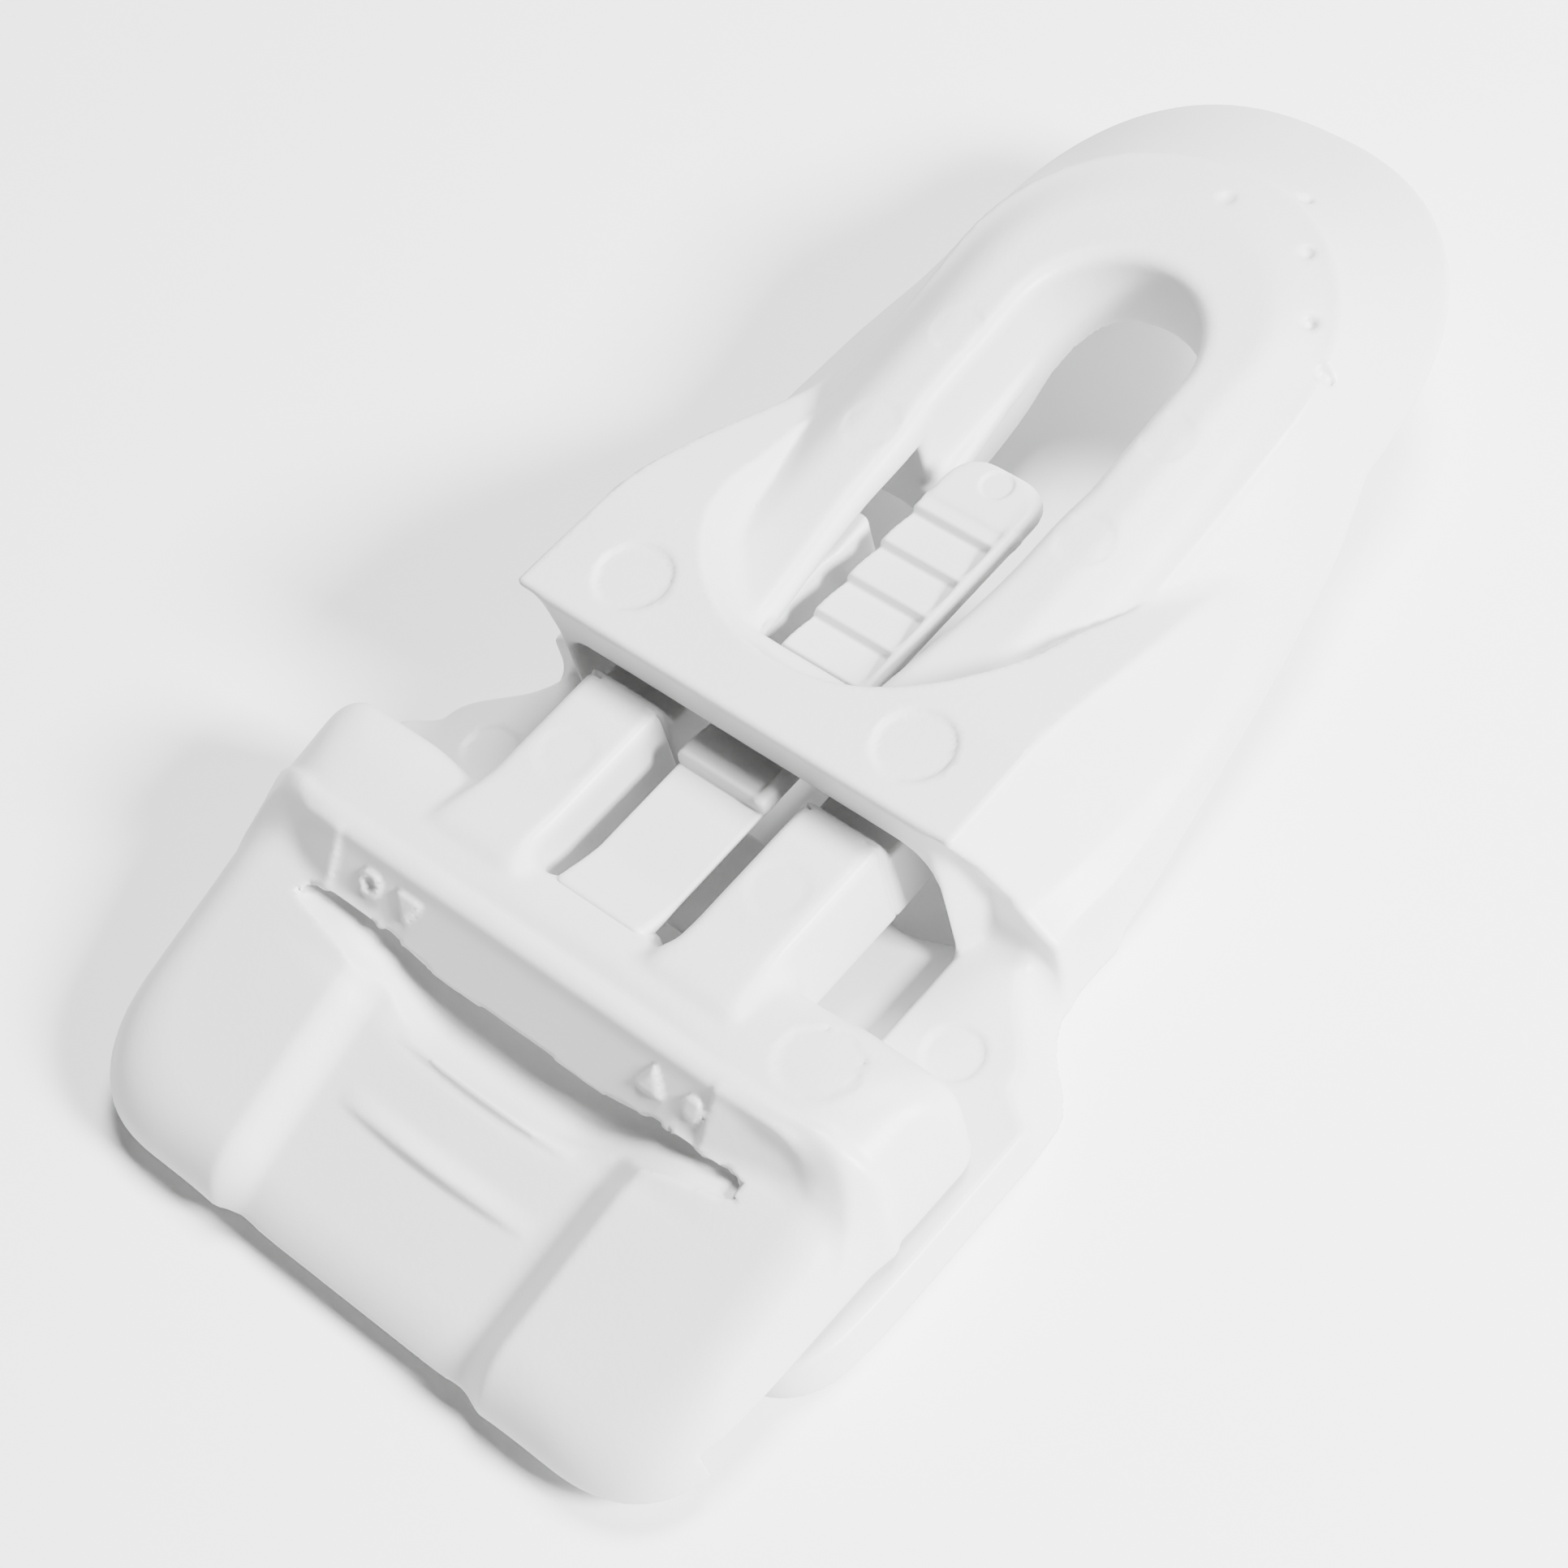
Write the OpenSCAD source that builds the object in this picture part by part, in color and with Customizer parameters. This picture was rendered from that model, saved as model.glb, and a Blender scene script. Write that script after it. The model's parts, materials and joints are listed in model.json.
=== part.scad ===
// Sliding latch clip: a frame with a slotted eye, and a jaw slider with a sprung ratchet tongue.
// Millimetres, +Z up. The clip lies on its back, the eye points to +Y, and X is its width.
// Every shape below is written from the datum, the middle of the bridge's top face, and
// place() then moves it so that the origin is at the bottom centre of the whole clip.

/* [Overall] */
// Distance from the datum to the tip of the eye
tip_y = 55.3; // [50:0.1:58]
// Distance from the datum to the slider's thumb end
nose_y = 43.1; // [41.5:0.1:46]
// Height from the resting face to the bridge's top
total_h = 17.5; // [17:0.1:18.5]
// Half width of the back jaw, the widest stretch
jaw_half_w = 26.1; // [25.6:0.1:28]

/* [Eye] */
// Half width of the eye slot, and the radius of its round end
slot_r = 6.2; // [5.5:0.1:6.8]
// Place of the middle of the slot's round end
slot_end_y = 31.2; // [29:0.1:32]
// Place of the slot's straight end
slot_foot_y = 3.0; // [2.6:0.1:4]
// Outer radius of the raised rim round the slot
rim_r = 12.2; // [11.8:0.1:12.8]
// Depth of the rim's foot below the bridge's top
rim_drop = 3.3; // [3.1:0.1:3.5]
// Depth of the rim's far end below the bridge's top
rim_end_drop = 0.7; // [0.5:0.1:1.2]

/* [Bridge] */
// Half width of the bridge's flat top
bridge_half_w = 17.2; // [16.8:0.1:17.8]
// Distance from the datum to the bridge's front edge
bridge_front_y = 4.4; // [4.2:0.1:5]
// Thickness of the bridge
bridge_t = 3.9; // [3.7:0.1:4]
// Half width of the arch below the bridge
arch_half_w = 15; // [14:0.1:15.2]

/* [Slider] */
// Half width of the slider's jaw
slider_half_w = 25.1; // [24:0.1:25.4]
// Distance from the datum to the slider's shoulder
shoulder_y = 13.7; // [13.5:0.1:14.5]
// Depth of the slider's deck below the bridge's top
deck_drop = 4.2; // [4.2:0.1:4.4]
// Rounding of the jaw's long edges
jaw_round = 4.5; // [3:0.1:5]
// Half width of the thumb channel
channel_half_w = 11.3; // [10:0.1:13]
// Depth of the thumb channel below the pads
channel_depth = 1.6; // [1:0.1:1.8]
// Width of one guide leg
leg_w = 6.2; // [5.4:0.1:6.2]
// Distance from the middle to a guide leg's inner side
leg_in_x = 5.5; // [5.3:0.1:5.8]

/* [Ratchet] */
// Half width of the ratchet tongue
tongue_half_w = 3.7; // [3.2:0.1:3.8]
// Thickness of the tongue below its teeth
tongue_t = 3.0; // [2.4:0.1:3.2]
// Pitch of the ratchet teeth
tooth_pitch = 3.2; // [3:0.1:3.3]
// Number of ratchet teeth
tooth_count = 8; // [6:1:8]
// Height of a tooth
tooth_h = 1.0; // [0.6:0.1:1]

/* [Hidden] */

white = "whitesmoke";
cut = 0.5;                 // how far a cutter runs past the face that it cuts
mid_y = (tip_y - nose_y) / 2;
floor_z = -total_h;
rim_far_y = 45.4;          // outer end of the raised rim
rim_mid_y = rim_far_y - rim_r;
skirt_foot_y = 11;         // where the skirt meets the arms and the bridge
jaw_top_z = -13.8;         // face of the back jaw
slider_low_z = -13.4;      // face of the slider's jaw
tongue_top_z = -6;
tongue_root_y = -16.5;
tooth_first_y = -6.3;
teeth_end_y = tooth_first_y + tooth_count * tooth_pitch;
ceiling_z = tongue_top_z + tooth_h + 0.3;
leg_low_z = -12;
leg_tip_z = -5.9;
leg_tip_y = 14.5;
plate_low_z = -5.4;        // underside of the thin plate over the legs
deep_y = 20;               // where the rim becomes deep
arc_steps = 24;

// moves a shape from the datum to the clip's own frame
module place() translate([0, -mid_y, total_h]) children();

// extrudes an outline of [y, z] points along X, between x0 and x1
module along_x(x0, x1, outline)
    translate([x0, 0, 0]) rotate([90, 0, 90]) linear_extrude(x1 - x0) polygon(outline);

// solid through rings of points, each ring with the same number of points
module loft(rings) {
    n = len(rings[0]);
    m = len(rings);
    sides = [for (i = [0:m - 2], j = [0:n - 1]) each [
        [i * n + j, (i + 1) * n + j, i * n + (j + 1) % n],
        [i * n + (j + 1) % n, (i + 1) * n + j, (i + 1) * n + (j + 1) % n]
    ]];
    first = [for (j = [0:n - 3]) [n - 1, j, j + 1]];
    last = [for (j = [0:n - 3]) [m * n - 1, (m - 1) * n + j + 1, (m - 1) * n + j]];
    polyhedron([for (r = rings) each r], concat(sides, first, last));
}

// heights of the eye's underside, flange edge and rim, at a distance y from the datum
function under_z(y) = lookup(y, [[5, floor_z], [13, -15], [24, -12], [37, -8.6], [tip_y, -5.6]]);
function edge_z(y) = lookup(y, [[-2, -12.4], [10, -11.6], [24, -10], [37, -7.8], [tip_y, -4.7]]);
function rim_z(y) = lookup(y, [[skirt_foot_y, -rim_drop], [rim_far_y, -rim_end_drop]]);
function ridge_z(y) = lookup(y, [[5, 0], [11, -1.8], [22, -6.6], [30, -9]]);
function flange_x(y) = lookup(y, [[5, 21.2], [13, 20.6], [24, 19.4], [36, 16.6]]);

// outer outline of the raised rim, from its right foot round the far end to the left
function rim_outline() = concat(
    [[rim_r, skirt_foot_y]],
    [for (i = [0:arc_steps]) [rim_r * cos(i * 180 / arc_steps),
                              rim_mid_y + rim_r * sin(i * 180 / arc_steps)]],
    [[-rim_r, skirt_foot_y]]
);

// a cosine that fills out the corners, for the eye's blunt round end
head_power = 2.4;
function full_cos(a) = sign(cos(a)) * pow(abs(cos(a)), 2 / head_power);

// one ring of the skirt: rim side, valley, ridge, flange edge, then back along the underside
function skirt_ring(rim, edge, ridge) = let (
    valley = rim + (edge - rim) * 0.3,
    crest = rim + (edge - rim) * 0.62,
    foot_z = rim_z(rim[1]) - 0.9,
    slope_z = foot_z + (edge_z(edge[1]) - foot_z) * 0.62
) [
    [rim[0], rim[1], foot_z],
    [valley[0], valley[1], foot_z + (edge_z(edge[1]) - foot_z) * 0.3],
    [crest[0], crest[1], max(slope_z, ridge)],
    [edge[0], edge[1], edge_z(edge[1])],
    [edge[0], edge[1], under_z(edge[1])],
    [rim[0], rim[1], under_z(rim[1])]
];
side_steps = 5;
side_end_y = 36;
function skirt_side(k, s) = let (
    t = k / side_steps,
    y = skirt_foot_y + t * (rim_mid_y - skirt_foot_y),
    ye = skirt_foot_y + t * (side_end_y - skirt_foot_y)
) skirt_ring([s * rim_r, y], [s * flange_x(ye), ye], ridge_z(ye));
function skirt_rings() = concat(
    [for (k = [0:side_steps]) skirt_side(k, 1)],
    [for (i = [1:arc_steps - 1]) let (a = i * 180 / arc_steps) skirt_ring(
        [rim_r * cos(a), rim_mid_y + rim_r * sin(a)],
        [flange_x(side_end_y) * full_cos(a), side_end_y + (tip_y - side_end_y) * full_cos(90 - a)],
        floor_z)],
    [for (k = [side_steps:-1:0]) skirt_side(k, -1)]
);

module bridge() place() color(white) difference() {
    along_x(-arch_half_w, arch_half_w, [
        [-bridge_front_y, 0], [5, 0], [skirt_foot_y, -1.8], [skirt_foot_y, -bridge_t],
        [0.4 - bridge_front_y, -bridge_t]
    ]);
    translate([0, rim_r + 0.2, -total_h]) cylinder(r = rim_r, h = 2 * total_h, $fn = 96);
}

module eye_rim() place() color(white) difference() {
    intersection() {
        along_x(-rim_r - cut, rim_r + cut, [
            [0, -rim_drop], [skirt_foot_y, -rim_drop], [rim_far_y, -rim_end_drop],
            [rim_far_y, under_z(rim_far_y)], [37, under_z(37)], [24, under_z(24)],
            [deep_y, under_z(deep_y)], [deep_y, plate_low_z], [0, plate_low_z]
        ]);
        translate([0, 0, -total_h]) union() {
            linear_extrude(2 * total_h) polygon(rim_outline());
            translate([0, rim_r + 0.2, 0]) cylinder(r = rim_r, h = 2 * total_h, $fn = 96);
        }
    }
    slot_cutter();
    tongue_groove();
}

// the eye slot: a tapered foot, straight sides and a round end
module slot_cutter() translate([0, 0, -total_h]) union() {
    linear_extrude(2 * total_h) polygon([
        [-4.3, slot_foot_y], [4.3, slot_foot_y], [slot_r, 15], [slot_r, slot_end_y],
        [-slot_r, slot_end_y], [-slot_r, 15]
    ]);
    translate([0, slot_end_y, 0]) cylinder(r = slot_r, h = 2 * total_h, $fn = 96);
}

// room for the tongue's teeth below the plate at the slot's foot
module tongue_groove()
    translate([-4.4, -cut, plate_low_z - cut]) cube([8.8, slot_foot_y + 2 * cut, 1.1 + cut]);

module eye_skirt() place() color(white) loft(skirt_rings());

// a wall beside the arch, from the bridge's ridge down to the flange
module arm(s) {
    function ring(y, lean) = [
        [s * arch_half_w, y + lean, ridge_z(y)],
        [s * bridge_half_w, y + lean, ridge_z(y)],
        [s * flange_x(y), y, edge_z(y)],
        [s * flange_x(y), y, floor_z + max(0, under_z(y) - floor_z)],
        [s * arch_half_w, y, floor_z + max(0, under_z(y) - floor_z)]
    ];
    rings = [ring(-bridge_front_y, 0), ring(5, 0), ring(skirt_foot_y, 0)];
    loft(s > 0 ? rings : [for (i = [2:-1:0]) rings[i]]);
}
module left_arm() place() color(white) arm(-1);
module right_arm() place() color(white) arm(1);

// the slope that carries an arm's front down to the back jaw
module cheek(s) {
    front_y = -bridge_front_y;
    x0 = min(s * 15.2, s * 21);
    along_x(x0, x0 + 5.8, [
        [front_y, jaw_top_z], [front_y, -9.5], [front_y - 1.2, -11.6],
        [front_y - 2.4, -13], [front_y - 3.8, jaw_top_z]
    ]);
}
module left_cheek() place() color(white) cheek(-1);
module right_cheek() place() color(white) cheek(1);

jaw_end_y = -32;
jaw_corner_r = 5;
module back_jaw() place() color(white) difference() {
    translate([0, 0, floor_z]) linear_extrude(jaw_top_z - floor_z) polygon(concat(
        [[22.6, -bridge_front_y], [jaw_half_w, -8.2]],
        jaw_corner(1), jaw_corner(-1),
        [[-jaw_half_w, -8.2], [-22.6, -bridge_front_y]]
    ));
    // leg room: the floor between the cheeks is lower
    translate([-arch_half_w, -12.5, -15.5]) cube([2 * arch_half_w, 12, 4]);
    for (i = [0:4]) translate([-19, -17 - 3 * i, jaw_top_z]) rotate([45, 0, 0])
        translate([0, -0.5, -0.5]) cube([38, 1, 1]);
}
function jaw_corner(s) = [for (i = [0:8]) let (a = (s > 0 ? -i : i - 8) * 90 / 8)
    [s * (jaw_half_w - 0.6 - jaw_corner_r + jaw_corner_r * cos(a)),
     jaw_end_y + jaw_corner_r + jaw_corner_r * sin(a)]];

// a guide ledge on a side wall of the eye slot, which tapers away before the round end
rail_w = 0.9;
rail_y = 23.5;
module slot_rail(s) intersection() {
    along_x(-slot_r, slot_r, [
        [rail_y, -8.5], [slot_end_y, -7.9], [slot_end_y, -8.9], [rail_y, -9.9]
    ]);
    translate([0, 0, -total_h]) linear_extrude(total_h) polygon([
        [s * slot_r, rail_y], [s * (slot_r - rail_w), rail_y], [s * slot_r, slot_end_y]
    ]);
}
module left_slot_rail() place() color(white) slot_rail(-1);
module right_slot_rail() place() color(white) slot_rail(1);

module ratchet_pawl() place() color(white) along_x(-3.2, 3.2, [
    [slot_foot_y - 1.6, plate_low_z + 1.1], [slot_foot_y - 0.2, plate_low_z + 1.1],
    [slot_foot_y - 0.2, ceiling_z], [slot_foot_y - 0.5, ceiling_z]
]);

// top of the slider's pads: a short level, then a slope to the thumb end
pad_y = -25;
bar_y = -21.9;             // back face of the mark bar, where the deck steps down
pad_z = -7.6;
pad_slope = 0.27;
nose_wall_y = -37.4;
edge_r = 1.5;              // rounding of the pads' thin end
lip_low_z = -15.6;
function pad_top(y) = pad_z + pad_slope * (y - pad_y);
function shell_ring(y, half_w, top_z, low_z, r) = concat(
    [for (i = [0:6]) let (a = i * 15) [half_w - r + r * cos(a), y, top_z - r + r * sin(a)]],
    [for (i = [6:-1:0]) let (a = i * 15) [-half_w + r - r * cos(a), y, top_z - r + r * sin(a)]],
    [[-half_w, y, low_z], [half_w, y, low_z]]
);
module jaw_shell() place() color(white) difference() {
    loft([
        shell_ring(-shoulder_y, slider_half_w - 3.2, -deck_drop - 0.8, slider_low_z, jaw_round - 0.6),
        shell_ring(-shoulder_y - 0.8, slider_half_w - 1.4, -deck_drop, slider_low_z, jaw_round),
        shell_ring(-shoulder_y - 3, slider_half_w, -deck_drop, slider_low_z, jaw_round),
        shell_ring(bar_y + 0.1, slider_half_w, -deck_drop, slider_low_z, jaw_round),
        shell_ring(bar_y, slider_half_w, pad_z, slider_low_z, jaw_round),
        shell_ring(pad_y, slider_half_w, pad_z, slider_low_z, jaw_round),
        shell_ring(nose_wall_y, slider_half_w - 0.4, pad_top(nose_wall_y), slider_low_z, edge_r)
    ]);
    // pocket for the tongue and the two grooves beside it
    translate([-leg_in_x, tongue_root_y - 0.4, slider_low_z - cut]) cube([2 * leg_in_x, 8, 20]);
    channel_cutter();
}
// the thumb channel runs down the middle of the pads
module channel_cutter()
    along_x(-channel_half_w, channel_half_w, [
        [pad_y - 1.2, pad_z + 3], [pad_y - 1.2, pad_top(pad_y - 1.2) - channel_depth],
        [-nose_y - 1, pad_top(-nose_y - 1) - channel_depth], [-nose_y - 1, 3]
    ]);

// the thumb end, which reaches down past the end of the back jaw
module nose_lip() place() color(white) difference() {
    loft([
        shell_ring(nose_wall_y, slider_half_w - 0.4, pad_top(nose_wall_y), lip_low_z, edge_r),
        shell_ring(-nose_y + 3, slider_half_w - 1.2, pad_top(-nose_y + 3), lip_low_z, edge_r),
        shell_ring(-nose_y + 1, slider_half_w - 3, pad_top(-nose_y + 3) - 1, lip_low_z, edge_r),
        shell_ring(-nose_y, slider_half_w - 5.5, pad_top(-nose_y + 3) - 2.2, lip_low_z + 0.2, 0.6)
    ]);
    channel_cutter();
}

module mark_bar() place() color(white) along_x(-21.4, 21.4, [
    [bar_y, pad_z], [bar_y, -3.9], [bar_y - 0.3, -3.9], [-24.7, -7.2], [-24.7, pad_z]
]);

// a stepped leg: its high part slides below the bridge, its low tip below the eye
module guide_leg(s) {
    x0 = min(s * leg_in_x, s * (leg_in_x + leg_w));
    along_x(x0, x0 + leg_w, [
        [-shoulder_y, leg_low_z], [leg_tip_y, leg_low_z], [leg_tip_y, leg_tip_z],
        [-4.2, leg_tip_z], [-4.2, -deck_drop], [-shoulder_y, -deck_drop]
    ]);
}
module left_guide_leg() place() color(white) guide_leg(-1);
module right_guide_leg() place() color(white) guide_leg(1);

// two lens-shaped ribs across the thumb channel
module grip_ribs() place() color(white) for (y = [-29, -34])
    translate([0, y, pad_top(y) - channel_depth]) rotate([atan(pad_slope), 0, 0])
        intersection() {
            translate([0, 24, 0]) cylinder(r = 25, h = 0.5, $fn = 360);
            translate([0, -24, 0]) cylinder(r = 25, h = 0.5, $fn = 360);
        }

// raised signs on the bar's sloping face, drawn flat and then laid on it
face_tilt = atan(3.3 / 2.5);
module on_face(x) translate([x, -23.45, -5.55]) rotate([face_tilt, 0, 0]) children();
module lock_mark() place() color(white) on_face(10) union() {
    linear_extrude(0.25) polygon([[-1.6, -0.9], [1.6, -0.9], [0, 1]]);
    translate([3.6, 0, 0]) cylinder(r = 0.9, h = 0.25, $fn = 48);
}
module release_mark() place() color(white) on_face(-10) union() {
    linear_extrude(0.25) polygon([[-1.6, 0.9], [0, -1], [1.6, 0.9]]);
    translate([-3.6, 0, 0]) difference() {
        cylinder(r = 0.9, h = 0.25, $fn = 48);
        translate([0, 0, -cut]) cylinder(r = 0.5, h = 2, $fn = 48);
    }
}

module tongue_beam() place() color(white) along_x(-tongue_half_w, tongue_half_w, [
    [tongue_root_y, tongue_top_z], [tongue_root_y, tongue_top_z - tongue_t],
    [teeth_end_y - 2.4, tongue_top_z - tongue_t], [teeth_end_y - 2.4, tongue_top_z]
]);

// teeth with steep faces towards the slider and long backs towards the eye, on a thin web
web_t = 0.15;
module ratchet_teeth() place() color(white) along_x(-tongue_half_w, tongue_half_w, concat(
    [[tooth_first_y, tongue_top_z]],
    [for (i = [0:tooth_count - 2]) let (y = tooth_first_y + i * tooth_pitch) each [
        [y + 0.15, tongue_top_z + tooth_h], [y + 1.1, tongue_top_z + tooth_h],
        [y + tooth_pitch - 0.1, tongue_top_z + 0.35], [y + tooth_pitch, tongue_top_z + web_t]
    ]],
    [[teeth_end_y - tooth_pitch, tongue_top_z]]
));

module tongue_tip() place() color(white) translate([0, 0, tongue_top_z - tongue_t]) union() {
    y0 = teeth_end_y - 2.4;
    corner = 1.2;
    translate([-tongue_half_w, y0, 0]) cube([2 * tongue_half_w, 3.8, tongue_t + tooth_h]);
    translate([-tongue_half_w + corner, y0, 0])
        cube([2 * (tongue_half_w - corner), 3.8 + corner, tongue_t + tooth_h]);
    for (s = [-1, 1]) translate([s * (tongue_half_w - corner), y0 + 3.8, 0])
        cylinder(r = corner, h = tongue_t + tooth_h, $fn = 48);
}

bridge();
eye_rim();
eye_skirt();
left_arm();
right_arm();
left_cheek();
right_cheek();
back_jaw();
left_slot_rail();
right_slot_rail();
ratchet_pawl();
jaw_shell();
nose_lip();
mark_bar();
left_guide_leg();
right_guide_leg();
grip_ribs();
lock_mark();
release_mark();
tongue_beam();
ratchet_teeth();
tongue_tip();
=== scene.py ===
"""Looks of the sliding latch clip: two white mouldings and the slider's sprung tongue.

Each moulding is one continuous skin. It is written as a signed distance in millimetres, measured
from the datum in the middle of the bridge's top face, and then meshed on a grid and settled on
the exact surface. x is the width, y runs to the eye, and z points out of the front face.
"""

import json
import math

import bpy
import numpy as np
from mathutils import Matrix, Vector


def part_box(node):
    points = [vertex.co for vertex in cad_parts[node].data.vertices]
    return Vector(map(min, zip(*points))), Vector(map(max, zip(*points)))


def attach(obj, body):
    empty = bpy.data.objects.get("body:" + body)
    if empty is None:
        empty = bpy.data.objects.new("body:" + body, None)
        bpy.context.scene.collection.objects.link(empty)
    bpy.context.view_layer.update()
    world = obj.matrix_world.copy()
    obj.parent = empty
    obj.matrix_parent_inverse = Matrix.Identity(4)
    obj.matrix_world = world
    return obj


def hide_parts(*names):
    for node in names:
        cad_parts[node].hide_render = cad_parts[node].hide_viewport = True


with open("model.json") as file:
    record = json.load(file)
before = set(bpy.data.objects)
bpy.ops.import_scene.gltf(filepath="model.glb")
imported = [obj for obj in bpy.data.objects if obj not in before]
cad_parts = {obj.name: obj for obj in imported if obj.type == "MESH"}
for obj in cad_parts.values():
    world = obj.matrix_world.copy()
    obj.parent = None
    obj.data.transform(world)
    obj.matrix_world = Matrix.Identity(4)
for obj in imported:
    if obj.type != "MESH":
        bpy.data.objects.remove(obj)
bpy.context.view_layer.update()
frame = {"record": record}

MM = 0.001
STEP = 0.3          # grid of the big mouldings
FINE_STEP = 0.17    # grid of the tongue
MOST_TRIANGLES = 185000
MARK_EDGE = 0.14         # width of the step round an ejector mark

# ---------------------------------------------------------------- places taken from the frame
BRIDGE_LOW, BRIDGE_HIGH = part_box("bridge")
BRIDGE_FRONT = -4.4
DATUM = Vector((0, BRIDGE_LOW.y - BRIDGE_FRONT * MM, BRIDGE_HIGH.z))


def from_datum(node):
    """The corners of a CAD node in millimetres from the datum."""
    low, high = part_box(node)
    return np.array((low - DATUM) / MM), np.array((high - DATUM) / MM)


EYE_HIGH = from_datum("eye_skirt")[1]
JAW_LOW, JAW_HIGH = from_datum("back_jaw")
SHELL_LOW, SHELL_HIGH = from_datum("jaw_shell")
NOSE_LOW, NOSE_HIGH = from_datum("nose_lip")
LEG_LOW, LEG_HIGH = from_datum("right_guide_leg")
BEAM_LOW, BEAM_HIGH = from_datum("tongue_beam")
TEETH_LOW, TEETH_HIGH = from_datum("ratchet_teeth")
TIP_LOW, TIP_HIGH = from_datum("tongue_tip")
BAR_LOW, BAR_HIGH = from_datum("mark_bar")
FLOOR_Z = JAW_LOW[2]


# ---------------------------------------------------------------- distance helpers
def smin(a, b, k):
    """Union of two shapes with a fillet that reaches k."""
    h = np.maximum(k - np.abs(a - b), 0) / k
    return np.minimum(a, b) - h * h * k / 4


def smax(a, b, k):
    """What two shapes share, with the edge between them rounded over k."""
    return -smin(-a, -b, k)


def ease(t):
    """0 to 1 with soft ends."""
    t = np.clip(t, 0, 1)
    return t * t * (3 - 2 * t)


def curve(t, points):
    """A smooth curve through (place, value) points, level beyond its ends."""
    xs, ys = np.array(points, float).T
    slopes = np.gradient(ys, xs)
    i = np.clip(np.searchsorted(xs, t) - 1, 0, len(xs) - 2)
    w = xs[i + 1] - xs[i]
    u = np.clip((t - xs[i]) / w, 0, 1)
    start = ys[i] * (1 + 2 * u) * (1 - u) ** 2 + slopes[i] * w * u * (1 - u) ** 2
    return start + ys[i + 1] * u * u * (3 - 2 * u) + slopes[i + 1] * w * u * u * (u - 1)


def below(height, x, y, z):
    """Distance above a height field, true to its slope."""
    e = 0.05
    h = height(x, y)
    slope_x = (height(x + e, y) - h) / e
    slope_y = (height(x, y + e) - h) / e
    return (z - h) / np.sqrt(1 + slope_x**2 + slope_y**2)


def block(x, y, z, low, high, k):
    """A box between two corners, with rounded edges."""
    across = smax(low[0] - x, x - high[0], k)
    along = smax(low[1] - y, y - high[1], k)
    return smax(smax(across, along, k), smax(low[2] - z, z - high[2], k), k)


def disc(x, y, cx, cy, r):
    """1 inside a round ejector mark, 0 outside."""
    return ease((r - np.hypot(x - cx, y - cy)) / MARK_EDGE + 0.5)


def groove(x, y, ax, ay, bx, by, r):
    """Distance to a line between two points in the plan, less r."""
    px, py, dx, dy = x - ax, y - ay, bx - ax, by - ay
    t = np.clip((px * dx + py * dy) / (dx * dx + dy * dy), 0, 1)
    return np.hypot(px - t * dx, py - t * dy) - r


# ---------------------------------------------------------------- the frame moulding
SLOT_R = 6.2
SLOT_END = 31.2
SLOT_FOOT = 3.0
RIM_FLAT = 10.5          # half width of the rim's level top
RIM_END = 33.4           # centre of the rim's round end
RIM_SLOPE_W = 3.0
SCOOP_R = 12.4
HEAD_BEND = 35.5         # where the flange's sides turn into the round end
HEAD_HALF = 16.8
HEAD_POWER = 2.4
PLATE_LOW = -5.4
TUNNEL_HALF = 15.0
LEG_ROOM_HALF = 12.3      # half width of the hollow below the eye that takes the legs
DEEP_Y = 20.0             # far end of that hollow
MARK_DEPTH = 0.16
BOWL_W = 3.6              # how far in the scoop round the slot takes to reach its depth
HEAD_MARKS = ((11.13, 0, 2.5, MARK_DEPTH), (8.5, 18.7, 1.85, 0.07),
              (8.3, 27.2, 1.7, 0.05))     # x, y, radius and depth of the ejector marks
JAW_MARK = (19.3, -9.4, 1.9)
JAW_GROOVES = tuple(-17 - 3 * i for i in range(5))
JAW_GROOVE_HALF = 0.7
JAW_GROOVE_DEPTH = 0.6
TOOTH_WAY_HALF = 4.4      # the way for the teeth below the bridge
TOOTH_WAY_Y = 1.5
TOOTH_WAY_REACH = 2.1
DENTS = ((10.4, 38.9, 0.5, 0.5), (3.9, 47.4, 0.3, 0.42), (7.1, 43.2, 0.3, 0.42),
         (13.1, 36.6, 0.6, 0.62), (0.2, 44.2, 0.12, 0.5))     # x, y, depth and radius


def flange_x(y):
    return curve(y, [(-7, 24), (-4.4, 22.2), (-1.2, 20.9), (5, 20.95), (13, 20.5),
                     (24, 19.4), (30, 18.4), (HEAD_BEND, HEAD_HALF)])


def edge_z(y):
    return curve(y, [(-4, -12.5), (10, -11.5), (24, -9.95), (37, -7.9), (47, -6.2),
                     (EYE_HIGH[1], -4.75)])


def under_z(y):
    return curve(y, [(1, FLOOR_Z), (5, -16.9), (13, -14.6), (24, -11.8), (37, -8.7),
                     (EYE_HIGH[1], -5.7)])


def rim_z(y):
    return curve(y, [(2, -3.35), (10, -3.3), (16, -3), (30, -1.75), (39, -1.05), (46, -0.75)])


def ridge_z(y):
    """Top of the bridge, and of the two buttresses that run down from it."""
    bridge = smin(0 * y, -0.32 * (y - 5.2), 0.9)
    fall = smin(bridge, -1.8 - 0.43 * (y - 10.7), 0.5)
    return smax(fall, -6.6 - 0.3 * np.maximum(y - 21.8, -6), 1.0)


def head_outline(ax, y):
    """Plan distance outside the flange."""
    side = ax - flange_x(y)
    a = HEAD_HALF
    b = EYE_HIGH[1] - HEAD_BEND
    u = ax / a
    v = np.maximum((y - HEAD_BEND) / b, 0)
    r = (u**HEAD_POWER + v**HEAD_POWER + 1e-9) ** (1 / HEAD_POWER)
    slope = np.hypot((u / r) ** (HEAD_POWER - 1) / a, (v / r) ** (HEAD_POWER - 1) / b)
    return np.where(y < HEAD_BEND, side, (r - 1) / slope)


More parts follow.
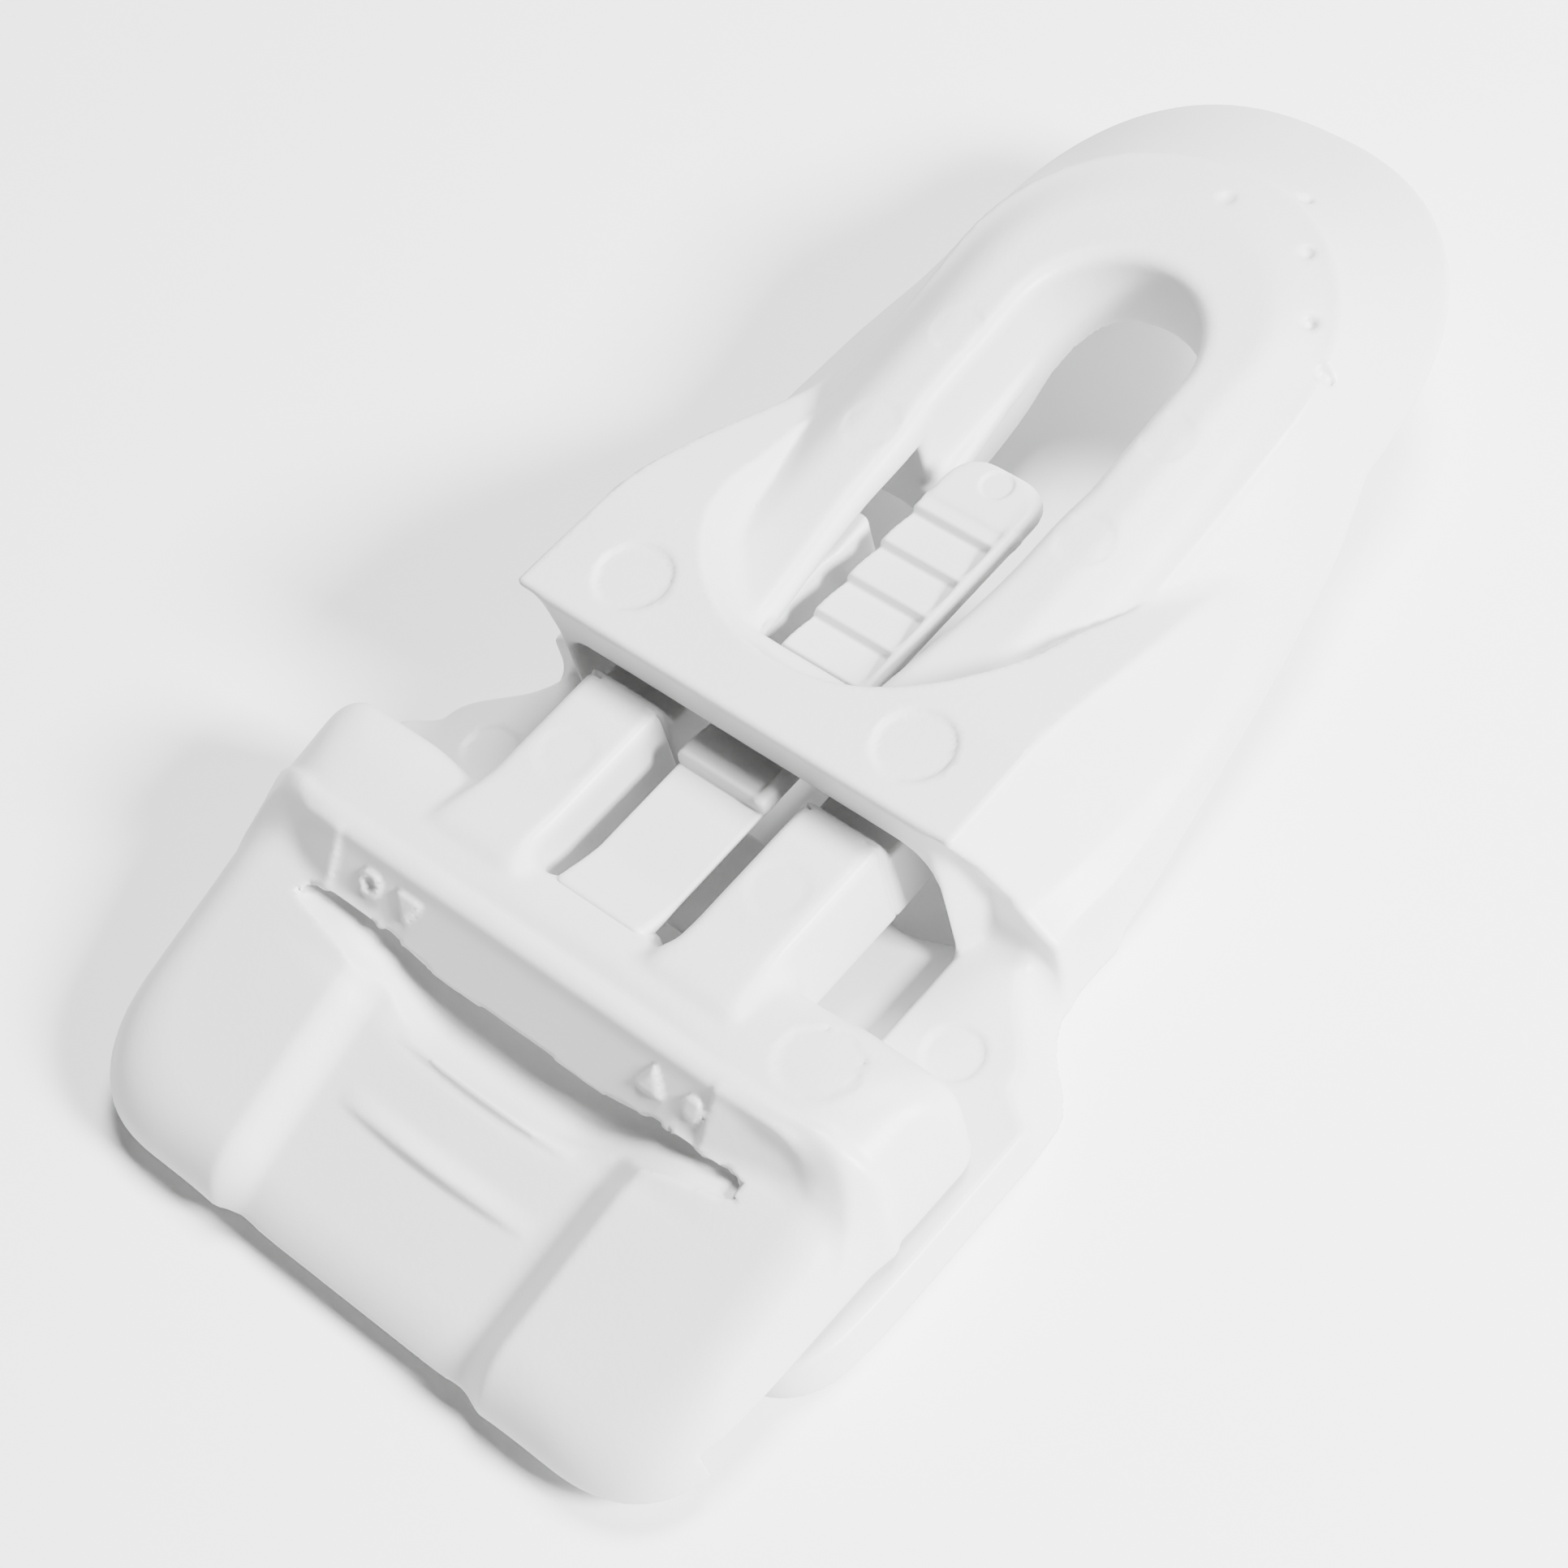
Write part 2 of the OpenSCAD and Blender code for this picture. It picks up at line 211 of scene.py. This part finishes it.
def rim_side(ax, y):
    """Plan distance outside the rim's level top."""
    return np.where(y < RIM_END, ax - RIM_FLAT, np.hypot(ax, y - RIM_END) - RIM_FLAT)


def frame_top(x, y):
    ax = np.abs(x)
    away = rim_side(ax, y)
    fall = curve(y, [(28, 0.72), (38, 0.5), (44, 0.3)])
    rim = rim_z(y) - fall * smax(away, 0 * away, 1.6) - 1.4 * np.maximum(away - RIM_SLOPE_W, 0)
    crease = rim_z(y) - curve(y, [(8, 2.3), (28, 2.0), (38, 1.0), (44, 0.55)])
    out = np.maximum(away - RIM_SLOPE_W, 0)
    inside = np.maximum(-head_outline(ax, y), 0)
    v = out / (out + inside + 1e-6)
    skirt = crease + (edge_z(y) - crease) * v ** curve(y, [(20, 1.1), (45, 1.0)])
    top = smax(rim, skirt, 0.9)

    valley_x = curve(y, [(SCOOP_R, SCOOP_R), (20, 13.9), (28, 15.6)])
    bowl = np.where(y < SCOOP_R, np.hypot(x, y - SCOOP_R) - SCOOP_R, ax - valley_x)
    dip = np.clip(-bowl / BOWL_W, 0, 1)
    ridge = ridge_z(y)
    shelf = ridge - 4.4 * (1 - (1 - dip) ** 2) - 6 * np.maximum(-bowl / BOWL_W - 1, 0)
    ridge_x = curve(y, [(-4.4, 17.2), (10.7, 16.9), (21.8, 16.2), (30, 16.6)])
    u = np.clip((ax - ridge_x) / (flange_x(y) - ridge_x), -6, 1)
    bend = curve(y, [(-4.4, 5), (2, 3.4), (12, 2.1), (22, 1.6)])
    wall = ridge - (ridge - edge_z(y)) * (1 - (1 - u) ** bend)
    shelf = smin(shelf, wall, 1.5)
    top = smax(top, shelf, 0.7)

    for side in (-1, 1):
        for mark_x, mark_y, radius, depth in HEAD_MARKS:
            top = top - depth * disc(x, y, side * mark_x, mark_y, radius)
    return top


def jaw_top(x, y):
    """Face of the back jaw: low between the arms, with shallow cross grooves below the slider."""
    ax = np.abs(x)
    step = ease((y + 12.6) / 0.8) * ease((TUNNEL_HALF + 0.3 - ax) / 0.8)
    top = JAW_HIGH[2] - 1.7 * step
    across = ease((19.3 - ax) / 0.6)
    for centre in JAW_GROOVES:
        groove_shape = np.maximum(1 - np.abs(y - centre) / JAW_GROOVE_HALF, 0)
        top = top - JAW_GROOVE_DEPTH * across * groove_shape
    return top - MARK_DEPTH * disc(ax, y, *JAW_MARK)


def slot_plan(ax, y):
    """Plan distance outside the eye slot."""
    width = curve(y, [(SLOT_FOOT, 4.3), (14.5, 5.7), (20, 5.95), (22, SLOT_R)])
    straight = smax(ax - width, SLOT_FOOT - y, 0.7)
    return np.where(y < SLOT_END, straight, np.hypot(ax, y - SLOT_END) - SLOT_R)


def frame_moulding(x, y, z):
    ax = np.abs(x)
    body = below(frame_top, x, y, z)
    near_slot = ease((3.4 - slot_plan(ax, y)) / 3)
    under = under_z(y) + near_slot * curve(y, [(22, -0.9), (32, -1), (36.5, 1.2)])
    body = smax(body, (under - z) / 1.05, 0.5)
    body = smax(body, head_outline(ax, y), 0.4)
    lean = 0.1 * np.clip(-z, 0, 4) + 0.3 * ease((ax - 14.8) / 1.5) * np.clip(-z, 0, 9)
    body = smax(body, BRIDGE_FRONT - y + lean, 0.55)

    ceiling = np.where(y < 0.4, -3.9, PLATE_LOW)
    half = LEG_ROOM_HALF + (TUNNEL_HALF - 0.2 - LEG_ROOM_HALF) * ease((12.5 - y) / 2.5)
    corner_k = 3.4 - 3.0 * ease((y - 5) / 4)
    tunnel = smax(smax(ax - half, z - ceiling, corner_k), y - DEEP_Y, 0.3)
    body = smax(body, -tunnel, 0.5)
    tooth_way = smax(ax - TOOTH_WAY_HALF, z - TEETH_HIGH[2] - 0.6, 0.2)
    tooth_way = smax(tooth_way, np.abs(y - TOOTH_WAY_Y) - TOOTH_WAY_REACH, 0.2)
    body = smax(body, -tooth_way, 0.15)

    bevel = 0.68 * ease((y + 11.5) / 2.5) * np.clip(z - FLOOR_Z - 0.2, 0, 4)
    jaw_x = curve(y, [(-32, 25.6), (-9.3, 26.1), (-8, 25.8), (-4.1, 22.4), (-1.2, 20.9)])
    plan = smax(ax + bevel - jaw_x, JAW_LOW[1] - y, 5.2)
    reach = np.where(ax < TUNNEL_HALF + 0.4, y + 3.7 - 1.1 * ease((ax - 10.5) / 4), y - 3)
    jaw = smax(plan, reach, 0.8)
    jaw = smax(jaw, below(jaw_top, x, y, z), 0.7)
    fillet = 0.5 + 1.4 * ease((ax - 15) / 1.5)
    body = smin(body, jaw, fillet)
    body = smax(body, -smax(tunnel, -3.7 + 1.1 * ease((ax - 10.5) / 4) - y, 0.5), 0.5)
    body = smax(body, FLOOR_Z - z, 0.4)
    body = smax(body, ax - JAW_HIGH[0], 0.3)

    slot = slot_plan(ax, y)
    body = smax(body, -slot, 0.4 + 0.85 * ease((z + 6.5) / 2.5))
    rail_in = SLOT_R - 0.95 * np.clip((SLOT_END - y) / 7.7, 0, 1.25)
    rail_top = -8.5 + 0.08 * (y - 23.5)
    rail = smax(smax(rail_in - ax, ax - SLOT_R - 0.4, 0.3), np.abs(z - rail_top + 0.6) - 0.6, 0.3)
    rail = smax(rail, smax(19.5 - y, y - SLOT_END, 0.4), 0.3)
    body = smin(body, rail, 0.35)

    for cx, cy, depth, r in DENTS:
        sink = np.hypot(x - cx, y - cy) - r * 0.7
        dent = smax(sink, frame_top(x, y) - depth - z, 0.2)
        body = smax(body, -dent, 0.45)
    return body


# ---------------------------------------------------------------- the slider moulding
DECK_Z = SHELL_HIGH[2]
SHOULDER_Y = SHELL_HIGH[1]
SHELL_HALF = SHELL_HIGH[0]
CHANNEL_HALF = 11.3
BAR_BACK = BAR_HIGH[1]
BAR_FOOT_Y = BAR_LOW[1]
BAR_TOP_Y = BAR_BACK - 0.35
BAR_RISE = 3.3            # height of the bar's sloping face
GROOVE_X = 4.6            # the grooves between the legs and the tongue
GROOVE_END = -15.75
HINGE_Y = -16.7
COVE_Y, COVE_Z = -25.7, -10.0             # middle of the hollow below the bar
LEG_MARK = (8.56, -10.3, 1.85)
SHOULDER_MARK = (17.9, -17.6, 2.5)
SMALL_MARK_DEPTH = 0.1
RIBS = ((-29.3, 7.4), (-34.2, 8.0))       # y and half length
RIB_HEIGHT = 0.62
SIGN_X, SIGN_Y, SIGN_Z = 10.0, -23.45, -6.0
SIGN_GAP = 3.2            # from an arrow to the sign beside it
SIGN_HALF = 0.28          # half thickness
SIGN_EDGE = 0.12


def pad_z(y):
    return curve(y, [(-43.1, -12.6), (-38, -11.15), (-34, -10.05), (-29, -8.7), (-25, -7.6),
                     (-22, -7.0)])


def channel_depth(x, y):
    ax = np.abs(x)
    wide = CHANNEL_HALF + 0.05 * (y + 25)
    return 1.65 * ease((wide - ax) / 2.8 + 0.4)


def dip_z(y):
    """The deck sinks towards the tongue's root."""
    return DECK_Z - 1.75 * ease((y + 19.6) / 6.4)


def rib(x, y, cy, half, tall):
    """A lens-shaped rib, steep on its thumb side."""
    bow = cy + 0.35 * (x / half) ** 2
    lens = np.clip(1 - (x / half) ** 2, 0, 1)
    back = ease((y - bow + 0.25) / 0.45) * ease(1 - (y - bow - 0.2) / 1.5)
    return tall * lens * back


def shell_top(x, y):
    ax = np.abs(x)
    deck = DECK_Z + 0 * x + 0 * y
    root = ease((6.6 - ax) / 1.6) * (dip_z(y) - DECK_Z)
    deck = deck + root
    lens = np.clip(1 - ((x - 2) / 12.5) ** 2, 0, 1)
    deck = deck - 0.32 * lens * ease((y + 21.9) / 0.5) * ease(1 - (y + 21.2) / (0.5 + 1.2 * lens))
    deck = deck - SMALL_MARK_DEPTH * disc(x, y, *SHOULDER_MARK)
    deck = deck - SMALL_MARK_DEPTH * disc(ax, y, *LEG_MARK)
    pads = pad_z(y) - channel_depth(x, y)
    for rib_y, half in RIBS:
        pads = pads + rib(x, y, rib_y, half, RIB_HEIGHT)
    return np.where(y > BAR_BACK - 1.2, deck, pads)


def bar_face(x, y):
    """Sloping face of the mark bar: a sunk panel between two ends that turn outwards."""
    turn = 0.3 * np.maximum(-x - 16.2, 0) + 0.3 * np.maximum(x - 14.2, 0)
    sunk = 0.5 * ease((x + 16.4) / 0.35) * ease((14.4 - x) / 0.35)
    steep = BAR_RISE / (BAR_TOP_Y - BAR_FOOT_Y)
    return BAR_HIGH[2] + steep * (y - BAR_TOP_Y) - sunk - turn


def slider_moulding(x, y, z):
    ax = np.abs(x)
    half = SHELL_HALF - 0.012 * (SHOULDER_Y - y)
    plan = smax(ax - half, y - SHOULDER_Y - 0.3 * ease((ax - 14) / 4), 2.3)
    plan = smax(plan, NOSE_LOW[1] + 0.35 * ease((ax - 6) / 8) - y, 7.6)

    side_k = 4.5 + 0.27 * np.clip(-13.5 - y, 0, 10)
    deck = smax(plan, below(shell_top, x, np.maximum(y, BAR_BACK - 1.0), z), side_k)
    wing = ease((ax - 19) / 3)
    deck = smax(deck, BAR_BACK - y - 0.5, 0.4 + 2.2 * wing)
    pads = smax(plan, below(shell_top, x, np.minimum(y, BAR_BACK - 1.3), z), 3.8)
    body = smin(deck, smax(pads, y - BAR_BACK - 0.2, 0.3), 0.05 + 1.6 * wing)

    bar_top = smax(z + 3.9, (z - bar_face(x, y)) / 1.65, 0.35)
    lens = np.clip(1 - (x / 20.6) ** 2, 0, 1)
    bar = smax(bar_top, smax(BAR_FOOT_Y - 1.4 * lens - y, y - BAR_BACK - 0.75, 0.3), 0.3)
    bar = smax(bar, smax(plan + 0.8, z - DECK_Z - 0.3, side_k), 0.3)
    bar = smax(bar, -9.0 - z, 0.3)
    body = smin(body, bar, 0.5 + 0.8 * wing)

    reach_y = 0.1 + 2.8 * lens
    on_pad = ease((ax - 5) / 10)
    reach_z = 0.1 + 1.55 * lens * (1 - 0.5 * on_pad)
    cove_z = COVE_Z + 1.9 * on_pad
    cove = np.hypot((y - COVE_Y - 0.5 * on_pad) / reach_y, (z - cove_z) / reach_z) - 1
    cove = cove * np.minimum(reach_y, reach_z) + 0.5 * (1 - ease(lens / 0.3))
    body = smax(body, -cove, 0.2 + 0.9 * ease((-26.6 - y) / 2))

    low = np.where(y > NOSE_HIGH[1], SHELL_LOW[2], NOSE_LOW[2])
    body = smax(body, low - z, 0.7)

    leg = block(ax, y, z, (LEG_LOW[0], -18, LEG_LOW[2]), (LEG_HIGH[0], LEG_HIGH[1], DECK_Z), 0.9)
    tip = smax(z - LEG_HIGH[2] + (LEG_HIGH[2] + 5.9) * ease((y + 4.7) / 0.6), -5 - y, 0.3)
    leg = smax(leg, np.where(y > -5, tip, -1), 0.3)
    leg = smax(leg, z - DECK_Z + SMALL_MARK_DEPTH * disc(ax, y, *LEG_MARK), 0.3)
    body = smin(body, leg, 1.3)
    body = smax(body, z - DECK_Z - 0.32, 0.2)

    gap = groove(ax, y, GROOVE_X, GROOVE_END, GROOVE_X, 10, 0.9)
    body = smax(body, -gap, 0.9)
    middle = smax(ax - GROOVE_X, HINGE_Y + 0.8 - y, 0.05)
    return smax(body, -middle, 0.05)


def on_bar_face(x, y, z, cx):
    """Coordinates on the bar's sloping face about a point: right, up the slope, and out."""
    slope = math.atan2(BAR_RISE, BAR_TOP_Y - BAR_FOOT_Y)
    py, pz = y - SIGN_Y, z - SIGN_Z
    up_slope = py * math.cos(slope) + pz * math.sin(slope)
    out = -py * math.sin(slope) + pz * math.cos(slope)
    return x - cx, up_slope, out


def arrow(u, v):
    """A small triangle that points up the slope."""
    return np.maximum(np.abs(u) * 0.86 + v * 0.5 - 0.55, -0.85 - v)


def lock_sign(x, y, z):
    """Raised arrow towards the eye with a dot beside it."""
    u, v, out = on_bar_face(x, y, z, SIGN_X)
    dot = np.hypot(u - SIGN_GAP, v) - 0.8
    return smax(np.minimum(arrow(u, v), dot), np.abs(out) - SIGN_HALF, SIGN_EDGE)


def release_sign(x, y, z):
    """Raised arrow away from the eye with a ring beside it."""
    u, v, out = on_bar_face(x, y, z, -SIGN_X)
    ring = np.abs(np.hypot(u + SIGN_GAP, v) - 0.7) - 0.22
    return smax(np.minimum(arrow(u, -v), ring), np.abs(out) - SIGN_HALF, SIGN_EDGE)


def slider_with_signs(x, y, z):
    body = slider_moulding(x, y, z)
    return smin(body, np.minimum(lock_sign(x, y, z), release_sign(x, y, z)), 0.08)


# ---------------------------------------------------------------- the tongue
TONGUE_HALF = BEAM_HIGH[0]
TOOTH_PITCH = 3.2
TOOTH_DEPTH = 0.72
RAMP_SHARE, DROP_SHARE = 0.9, 0.1      # of a pitch
TONGUE_DRAFT = 0.7


def tooth_top(x, y):
    """Ramps that climb towards the slider and drop steeply there."""
    t = np.mod((y - TEETH_LOW[1] - 0.3) / TOOTH_PITCH, 1)
    ramp = np.where(t < RAMP_SHARE, t / RAMP_SHARE, (1 - t) / DROP_SHARE)
    return TEETH_HIGH[2] - TOOTH_DEPTH * ramp + 0 * x


def tongue_top(x, y):
    plain = BEAM_HIGH[2] + 0 * x + 0 * y
    root = dip_z(y) - 0.04 * ease((HINGE_Y + 0.78 - y) / 0.1)
    return np.where(y < TEETH_LOW[1], np.maximum(plain, root), plain)


def tongue(x, y, z):
    ax = np.abs(x)
    taper = 0.15 + TONGUE_DRAFT * np.clip(BEAM_HIGH[2] - z, 0, 3)
    bar = smax(ax + taper - TONGUE_HALF, smax(HINGE_Y - 0.5 - y, y - TIP_HIGH[1] + 0.4, 0.6), 0.6)
    beam = smax(bar, below(tongue_top, x, y, z), 0.5)
    rail = smax(smax(bar, z - TEETH_HIGH[2], 0.6), TEETH_LOW[1] - y, 0.4)
    body = np.minimum(beam, rail)
    above = -below(tooth_top, x, y, z)
    above = smax(above, TEETH_LOW[1] - 0.1 - y, 0.1)
    body = smax(body, -smax(above, x - 2.8, 0.3), 0.12)
    corner = smax(ax + taper - TONGUE_HALF, y - TIP_HIGH[1] + taper, 2.6)
    head = smax(smax(corner, TIP_LOW[1] + 0.3 - y, 0.4), z - TIP_HIGH[2], 0.8)
    head = smax(head, z - TIP_HIGH[2] + 0.14 * disc(x, y, 0, 20.3, 1.1), 0.1)
    body = smin(smax(body, y - TIP_LOW[1] - 1.2, 0.2), head, 0.25)
    return smax(body, BEAM_LOW[2] - z, 0.5)


# ---------------------------------------------------------------- meshing
def surface_nets(field, low, high, step):
    """Quads round the zero of a field: one vertex in each grid cell that the surface crosses."""
    axes = [np.arange(a - 2 * step, b + 2.5 * step, step) for a, b in zip(low, high)]
    f = field(axes[0][:, None, None], axes[1][None, :, None], axes[2][None, None, :])
    f = np.broadcast_to(f, [len(a) for a in axes]).astype(np.float32)
    shape = np.array(f.shape)
    inside = f < 0
    cells, points, quads = [], [], []
    for axis in range(3):
        one = np.eye(3, dtype=int)[axis]
        u, v = np.eye(3, dtype=int)[(axis + 1) % 3], np.eye(3, dtype=int)[(axis + 2) % 3]
        first = inside[tuple(slice(0, n - s) for n, s in zip(shape, one))]
        second = inside[tuple(slice(s, n) for n, s in zip(shape, one))]
        at = np.argwhere(first != second)
        f0 = f[tuple(at.T)]
        f1 = f[tuple((at + one).T)]
        place = at + (f0 / (f0 - f1))[:, None] * one
        corners = [np.ravel_multi_index(tuple((at - a * u - b * v).T), shape)
                   for a, b in ((0, 0), (1, 0), (1, 1), (0, 1))]
        quad = np.stack(corners, 1)
        flip = f0 > 0
        quad[flip] = quad[flip][:, ::-1]
        quads.append(quad)
        for c in corners:
            cells.append(c)
            points.append(place)
    cells = np.concatenate(cells)
    points = np.concatenate(points)
    names, index = np.unique(cells, return_inverse=True)
    count = np.bincount(index)
    verts = np.stack([np.bincount(index, points[:, k]) / count for k in range(3)], 1)
    faces = np.searchsorted(names, np.concatenate(quads))
    origin = np.array([a[0] for a in axes])
    return origin + verts * step, faces


def settle(field, verts, step, rounds):
    """Moves vertices onto the field's exact zero."""
    e = 0.02
    for _ in range(rounds):
        x, y, z = verts.T
        f = field(x, y, z)
        g = np.stack([(field(x + e, y, z) - field(x - e, y, z)),
                      (field(x, y + e, z) - field(x, y - e, z)),
                      (field(x, y, z + e) - field(x, y, z - e))], 1) / (2 * e)
        size = np.maximum((g**2).sum(1), 0.05)
        move = -(f / size)[:, None] * g
        length = np.linalg.norm(move, axis=1, keepdims=True)
        verts = verts + move * np.minimum(1, 0.6 * step / np.maximum(length, 1e-9))
    return verts


def relax(verts, faces):
    """Evens out the spacing: each vertex goes halfway to the middle of its neighbours."""
    a = np.concatenate([faces[:, k] for k in range(4)])
    b = np.concatenate([faces[:, (k + 1) % 4] for k in range(4)])
    size = len(verts)
    total = np.stack([np.bincount(a, verts[b, k], size) + np.bincount(b, verts[a, k], size)
                      for k in range(3)], 1)
    count = np.bincount(a, minlength=size) + np.bincount(b, minlength=size)
    return 0.5 * verts + 0.5 * total / count[:, None]


def moulding(name, field, low, high, step, material):
    """A mesh object of a field, in metres, in its place round the CAD solids."""
    verts, faces = surface_nets(field, low, high, step)
    verts = settle(field, verts, step, 2)
    for _ in range(2):
        verts = settle(field, relax(verts, faces), step, 1)
    verts = settle(field, verts, step, 1)
    mesh = bpy.data.meshes.new(name)
    mesh.from_pydata((verts * MM + np.array(DATUM)).tolist(), [], faces.tolist())
    mesh.update()
    mesh.polygons.foreach_set("use_smooth", [True] * len(faces))
    mesh.materials.append(material)
    piece = bpy.data.objects.new(name, mesh)
    bpy.context.scene.collection.objects.link(piece)
    triangles = 2 * len(faces)
    if triangles > MOST_TRIANGLES:
        thin = piece.modifiers.new("thin", "DECIMATE")
        thin.ratio = MOST_TRIANGLES / triangles
        bpy.context.view_layer.update()
        thinned = bpy.data.meshes.new_from_object(
            piece.evaluated_get(bpy.context.evaluated_depsgraph_get()))
        piece.modifiers.clear()
        piece.data = thinned
        bpy.data.meshes.remove(mesh)
        thinned.polygons.foreach_set("use_smooth", [True] * len(thinned.polygons))
    print(name, len(piece.data.vertices), "vertices,", triangles, "triangles before thinning")
    return piece


# ---------------------------------------------------------------- material
def white_plastic(name, tone, rough):
    """Moulded white plastic: satin, with a fine spark-eroded grain and faint patches."""
    material = bpy.data.materials.new(name)
    material.use_nodes = True
    nodes, links = material.node_tree.nodes, material.node_tree.links
    shader = nodes["Principled BSDF"]
    shader.inputs["IOR"].default_value = 1.49
    shader.inputs["Subsurface Weight"].default_value = 0.12
    shader.inputs["Subsurface Radius"].default_value = (1.0, 0.95, 0.9)
    shader.inputs["Subsurface Scale"].default_value = 0.0012
    place = nodes.new("ShaderNodeTexCoord")

    def noise(scale, detail):
        node = nodes.new("ShaderNodeTexNoise")
        node.inputs["Scale"].default_value = scale
        node.inputs["Detail"].default_value = detail
        links.new(place.outputs["Object"], node.inputs["Vector"])
        return node.outputs["Fac"]

    patches = nodes.new("ShaderNodeValToRGB")
    patches.color_ramp.elements[0].position = 0.3
    patches.color_ramp.elements[0].color = (tone - 0.02, tone - 0.02, tone - 0.018, 1)
    patches.color_ramp.elements[1].position = 0.7
    patches.color_ramp.elements[1].color = (tone, tone, tone, 1)
    links.new(noise(160, 4), patches.inputs["Fac"])
    links.new(patches.outputs["Color"], shader.inputs["Base Color"])

    shine = nodes.new("ShaderNodeMapRange")
    shine.inputs["To Min"].default_value = rough - 0.06
    shine.inputs["To Max"].default_value = rough + 0.06
    links.new(noise(420, 3), shine.inputs["Value"])
    links.new(shine.outputs["Result"], shader.inputs["Roughness"])

    grain = nodes.new("ShaderNodeBump")
    grain.inputs["Strength"].default_value = 0.12
    grain.inputs["Distance"].default_value = 0.00012
    links.new(noise(2600, 3), grain.inputs["Height"])
    links.new(grain.outputs["Normal"], shader.inputs["Normal"])
    return material


# ---------------------------------------------------------------- camera, light and floor
VIEW_AZIMUTH, VIEW_ELEVATION, VIEW_ROLL = (math.radians(a) for a in (55.3, 54.0, -17.5))
VIEW_DISTANCE = 0.19304
VIEW_TARGET = DATUM + Vector((6.586, -6.347, 0)) * MM
SENSOR_MM = 36
IMAGE_SIZE = 1932
FOCAL_LENGTH = 4160       # in the image's units
LAMP_AIM = Vector((0, 0, 0.008))
WORLD_STRENGTH = 0.13
FLOOR_HALF = 1.5
FLOOR_TONE = 0.97


def add_camera():
    toward = Vector((math.sin(VIEW_AZIMUTH) * math.cos(VIEW_ELEVATION),
                     -math.cos(VIEW_AZIMUTH) * math.cos(VIEW_ELEVATION), math.sin(VIEW_ELEVATION)))
    level = (-toward).cross(Vector((0, 0, 1))).normalized()
    upward = level.cross(-toward)
    right = math.cos(VIEW_ROLL) * level + math.sin(VIEW_ROLL) * upward
    up = -math.sin(VIEW_ROLL) * level + math.cos(VIEW_ROLL) * upward
    data = bpy.data.cameras.new("camera")
    data.sensor_width = SENSOR_MM
    data.lens = SENSOR_MM * FOCAL_LENGTH / IMAGE_SIZE
    data.clip_start = 0.005
    camera = bpy.data.objects.new("camera", data)
    turn = Matrix((right, up, toward)).transposed().to_4x4()
    camera.matrix_world = Matrix.Translation(VIEW_TARGET + toward * VIEW_DISTANCE) @ turn
    bpy.context.scene.collection.objects.link(camera)
    bpy.context.scene.camera = camera


def add_light(name, place, size, power):
    """A soft square lamp that faces the clip."""
    data = bpy.data.lights.new(name, "AREA")
    data.shape = "SQUARE"
    data.size = size
    data.energy = power
    lamp = bpy.data.objects.new(name, data)
    lamp.location = place
    aim = LAMP_AIM - Vector(place)
    lamp.rotation_euler = aim.to_track_quat("-Z", "Y").to_euler()
    bpy.context.scene.collection.objects.link(lamp)


def add_studio():
    world = bpy.data.worlds.new("studio")
    bpy.context.scene.world = world
    world.use_nodes = True
    back = world.node_tree.nodes["Background"]
    back.inputs["Color"].default_value = (1, 1, 1, 1)
    back.inputs["Strength"].default_value = WORLD_STRENGTH
    add_light("key", (0.42, 0.07, 0.28), 0.12, 13.0)
    add_light("top", (0.02, 0.20, 0.50), 0.18, 6.5)

    mesh = bpy.data.meshes.new("floor")
    corners = [(x * FLOOR_HALF, y * FLOOR_HALF, 0) for x, y in ((-1, -1), (1, -1), (1, 1), (-1, 1))]
    mesh.from_pydata(corners, [], [(0, 1, 2, 3)])
    floor = bpy.data.objects.new("floor", mesh)
    paint = bpy.data.materials.new("pale_floor")
    paint.use_nodes = True
    shader = paint.node_tree.nodes["Principled BSDF"]
    shader.inputs["Base Color"].default_value = (FLOOR_TONE, FLOOR_TONE, FLOOR_TONE, 1)
    shader.inputs["Roughness"].default_value = 0.9
    mesh.materials.append(paint)
    bpy.context.scene.collection.objects.link(floor)


# ---------------------------------------------------------------- the scene
add_camera()
add_studio()
frame_plastic = white_plastic("frame_plastic_white", 0.66, 0.42)
slider_plastic = white_plastic("slider_plastic_white", 0.65, 0.42)

frame_piece = moulding("frame_moulding", frame_moulding, (JAW_LOW[0], JAW_LOW[1], FLOOR_Z),
                       (JAW_HIGH[0], EYE_HIGH[1], 0), STEP, frame_plastic)
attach(frame_piece, "frame")
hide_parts(*frame["record"]["behaviour"]["bodies"]["frame"])

slider_piece = moulding("slider_moulding", slider_with_signs,
                        (SHELL_LOW[0], NOSE_LOW[1], NOSE_LOW[2]),
                        (SHELL_HIGH[0], LEG_HIGH[1], BAR_HIGH[2]), STEP, slider_plastic)
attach(slider_piece, "slider")
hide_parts(*frame["record"]["behaviour"]["bodies"]["slider"])

tongue_piece = moulding("ratchet_tongue", tongue, (BEAM_LOW[0], HINGE_Y - 0.5, BEAM_LOW[2]),
                        (BEAM_HIGH[0], TIP_HIGH[1], TEETH_HIGH[2] + 1), FINE_STEP, slider_plastic)
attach(tongue_piece, "tongue")
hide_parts(*frame["record"]["behaviour"]["bodies"]["tongue"])
